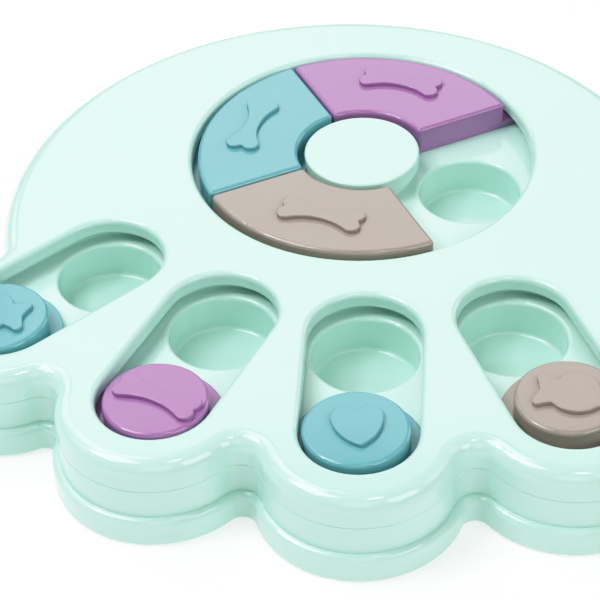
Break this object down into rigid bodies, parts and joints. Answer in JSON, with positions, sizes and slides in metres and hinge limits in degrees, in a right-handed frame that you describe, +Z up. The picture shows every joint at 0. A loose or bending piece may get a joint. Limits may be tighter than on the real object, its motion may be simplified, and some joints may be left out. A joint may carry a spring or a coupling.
{
  "type": "dog puzzle feeder",
  "caption": "Paw-shaped pet puzzle feeder: a two-part round tray with treat wells, sector covers that turn about a hub, and round pucks that slide in toe slots.",
  "frame": {"origin": "the middle of the outline's length and width, on the surface the toy stands on", "axes": "+Z up, +Y towards the back of the pad, the toes point to -Y, +X to the right"},
  "size_m": [0.262, 0.2658, 0.0348],
  "materials": {
    "mint_plastic": "glossy injection-moulded ABS",
    "purple_plastic": "glossy injection-moulded ABS",
    "blue_plastic": "glossy injection-moulded ABS",
    "taupe_plastic": "glossy injection-moulded ABS",
    "screw_steel": "zinc-plated self-tapping screws",
    "foot_rubber": "matt grey rubber"
  },
  "bodies": {
    "tray": {"base_tray": "mint_plastic", "top_cover": "mint_plastic", "hub_cap": "mint_plastic", "hub_screw": "screw_steel", "cover_screw_1": "screw_steel", "cover_screw_2": "screw_steel", "cover_screw_3": "screw_steel", "cover_screw_4": "screw_steel", "cover_screw_5": "screw_steel", "cover_screw_6": "screw_steel", "cover_screw_7": "screw_steel", "rubber_foot_1": "foot_rubber", "rubber_foot_2": "foot_rubber", "rubber_foot_3": "foot_rubber", "rubber_foot_4": "foot_rubber", "rubber_foot_5": "foot_rubber", "rubber_foot_6": "foot_rubber"},
    "blue_sector": {"blue_sector_cover": "blue_plastic"},
    "purple_sector": {"purple_sector_cover": "purple_plastic"},
    "taupe_sector": {"taupe_sector_cover": "taupe_plastic"},
    "blue_fish_puck": {"blue_fish_puck": "blue_plastic"},
    "purple_bone_puck": {"purple_bone_puck": "purple_plastic"},
    "blue_heart_puck": {"blue_heart_puck": "blue_plastic"},
    "taupe_fish_puck": {"taupe_fish_puck": "taupe_plastic"}
  },
  "joints": [
    {"name": "blue_sector_turn", "type": "hinge", "parent": "tray", "child": "blue_sector", "pos_m": [0, 0.0438, 0.0227], "axis": [0, 0, 1], "continuous": true},
    {"name": "purple_sector_turn", "type": "hinge", "parent": "blue_sector", "child": "purple_sector", "pos_m": [0, 0.0438, 0.0227], "axis": [0, 0, 1], "range_deg": [-91.2, 0]},
    {"name": "taupe_sector_turn", "type": "hinge", "parent": "blue_sector", "child": "taupe_sector", "pos_m": [0, 0.0438, 0.0227], "axis": [0, 0, 1], "range_deg": [0, 91.2]},
    {"name": "blue_fish_slide", "type": "slide", "parent": "tray", "child": "blue_fish_puck", "axis": [0.5577, 0.83, 0], "range_m": [-0.00025, 0.04775]},
    {"name": "purple_bone_slide", "type": "slide", "parent": "tray", "child": "purple_bone_puck", "axis": [0.1942, 0.981, 0], "range_m": [-0.00005, 0.04795]},
    {"name": "blue_heart_slide", "type": "slide", "parent": "tray", "child": "blue_heart_puck", "axis": [-0.1942, 0.981, 0], "range_m": [-0.00135, 0.04665]},
    {"name": "taupe_fish_slide", "type": "slide", "parent": "tray", "child": "taupe_fish_puck", "axis": [-0.5577, 0.83, 0], "range_m": [-0.00475, 0.04325]}
  ]
}
